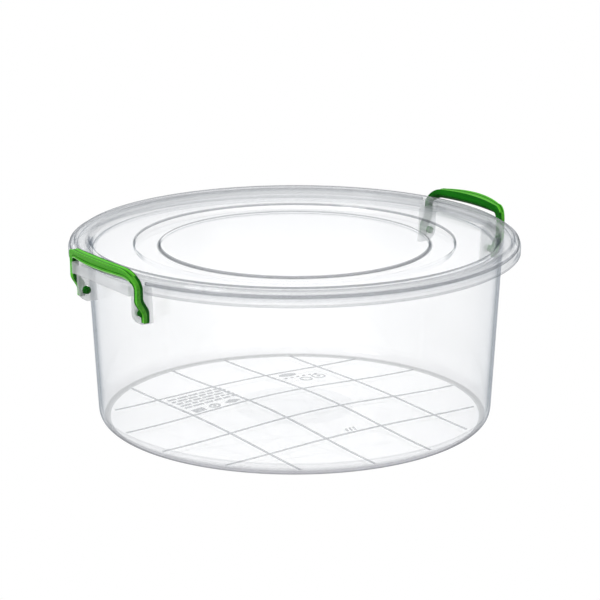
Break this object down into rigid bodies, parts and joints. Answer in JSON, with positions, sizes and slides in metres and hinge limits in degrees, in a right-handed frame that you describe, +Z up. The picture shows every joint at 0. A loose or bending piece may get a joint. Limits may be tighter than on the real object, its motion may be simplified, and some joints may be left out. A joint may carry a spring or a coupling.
{
  "type": "snap lid food container",
  "caption": "Round clear food container: a drafted tub with a turned-down flange, a recessed clear lid, and green U-shaped snap latches pivoting on the tub.",
  "frame": {"origin": "centre of the tub's resting face, on the tub's axis", "axes": "+Z up along the tub's axis, +X towards the right latch, +Y along the latches' pivot axes"},
  "size_m": [0.324, 0.308, 0.135],
  "materials": {
    "tub_clear": "clear polished injection-moulded plastic, colourless, water-clear walls",
    "lid_clear": "clear polished injection-moulded plastic, colourless",
    "latch_green": "glossy saturated green moulded plastic"
  },
  "bodies": {
    "tub": {"tub": "tub_clear"},
    "lid": {"lid": "lid_clear"},
    "left_latch": {"left_latch": "latch_green"},
    "right_latch": {"right_latch": "latch_green"}
  },
  "joints": [
    {"name": "lid_lift", "type": "slide", "parent": "tub", "child": "lid", "axis": [0, 0, 1], "range_m": [0, 0.02]},
    {"name": "left_latch_swing", "type": "hinge", "parent": "tub", "child": "left_latch", "pos_m": [-0.1448, 0, 0.1029], "axis": [0, -1, 0], "range_deg": [0, 150]},
    {"name": "right_latch_swing", "type": "hinge", "parent": "tub", "child": "right_latch", "pos_m": [0.1448, 0, 0.1029], "axis": [0, 1, 0], "range_deg": [0, 150]}
  ],
  "couplings": [
    {"joint": "left_latch_swing", "follows": "lid_lift", "rad_per_m": 130.89},
    {"joint": "right_latch_swing", "follows": "lid_lift", "rad_per_m": 130.89}
  ]
}
